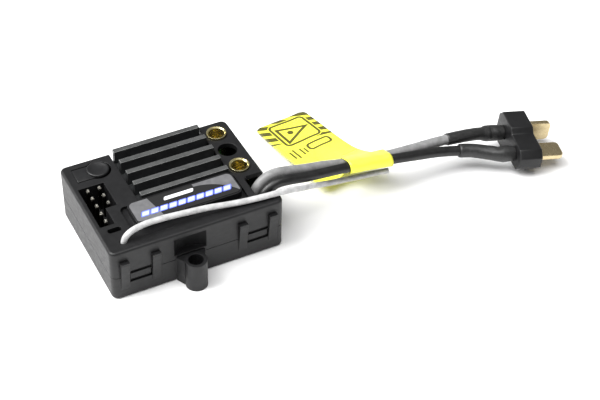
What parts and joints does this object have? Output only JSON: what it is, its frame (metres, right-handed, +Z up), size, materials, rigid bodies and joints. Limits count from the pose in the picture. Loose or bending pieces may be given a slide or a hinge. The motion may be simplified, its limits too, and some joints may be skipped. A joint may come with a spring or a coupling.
{
  "type": "electronic speed controller",
  "caption": "Brushed-motor speed controller with built-in receiver: latched black case, finned heat sink, pin header, setup button, motor sockets, aerial, battery lead with T-plug and tag.",
  "frame": {"origin": "on the floor, under the middle of the case and of its two ears", "axes": "+X along the case towards the battery lead, +Y to the back, +Z up"},
  "size_m": [0.11, 0.0432, 0.0157],
  "materials": {
    "case_plastic": "fine moulded texture, satin",
    "button_plastic": "smooth satin moulding",
    "switch_body": "plain moulding",
    "switch_plunger": "plain moulding",
    "circuit_board": "solder mask over glass laminate",
    "black_anodised": "black anodised, tops rubbed lighter",
    "thermal_pad": "soft gap filler",
    "chip_body": "moulded epoxy",
    "tin_plate": "tin plated",
    "can_aluminium": "drawn can",
    "ceramic": "fired ceramic with tinned ends",
    "lamp_lens": "clear moulding",
    "header_plastic": "plain moulding",
    "gold_plate": "gold plated, polished",
    "label_film": "glossy printed film",
    "wire_grey": "silicone insulation, satin",
    "wire_black": "silicone insulation, glossy",
    "aerial_sleeve": "translucent white insulation",
    "shrink_sleeve": "heat-shrunk, lightly wrinkled",
    "plug_nylon": "fine grained nylon",
    "blade_brass": "plated, lightly tarnished",
    "tag_film": "yellow printed film"
  },
  "bodies": {
    "case": {"lower_case": "case_plastic", "top_cover": "case_plastic", "tact_switch": "switch_body", "main_board": "circuit_board", "heat_sink": "black_anodised", "thermal_pad": "thermal_pad", "power_transistors": "chip_body", "controller_chip": "chip_body", "radio_chip": "chip_body", "radio_crystal": "tin_plate", "capacitor_left": "can_aluminium", "capacitor_right": "can_aluminium", "voltage_regulator": "chip_body", "ceramic_capacitors": "ceramic", "status_led": "lamp_lens", "header_base_5": "header_plastic", "header_base_3": "header_plastic", "header_pins_5": "gold_plate", "header_pins_3": "gold_plate", "motor_socket_rear": "gold_plate", "motor_socket_front": "gold_plate", "name_label": "label_film", "solder_joints": "tin_plate", "aerial_wire": "aerial_sleeve", "power_wire_grey": "wire_grey", "power_wire_black": "wire_black", "heat_shrink_grey": "shrink_sleeve", "heat_shrink_black": "shrink_sleeve", "plug_housing": "plug_nylon", "plug_blade_upright": "blade_brass", "plug_blade_flat": "blade_brass", "warning_tag": "tag_film"},
    "button": {"setup_button": "button_plastic"},
    "plunger": {"switch_plunger": "switch_plunger"}
  },
  "joints": [
    {"name": "button_press", "type": "hinge", "parent": "case", "child": "button", "pos_m": [-0.0172, 0.0108, 0.0122], "axis": [0, 1, 0], "range_deg": [0, 4.5], "stiffness_Nm_per_rad": 0.05, "springref_deg": -1.72},
    {"name": "switch_travel", "type": "slide", "parent": "case", "child": "plunger", "axis": [0, 0, -1], "range_m": [0, 0.00042]}
  ],
  "couplings": [
    {"joint": "switch_travel", "follows": "button_press", "m_per_rad": 0.0052}
  ]
}
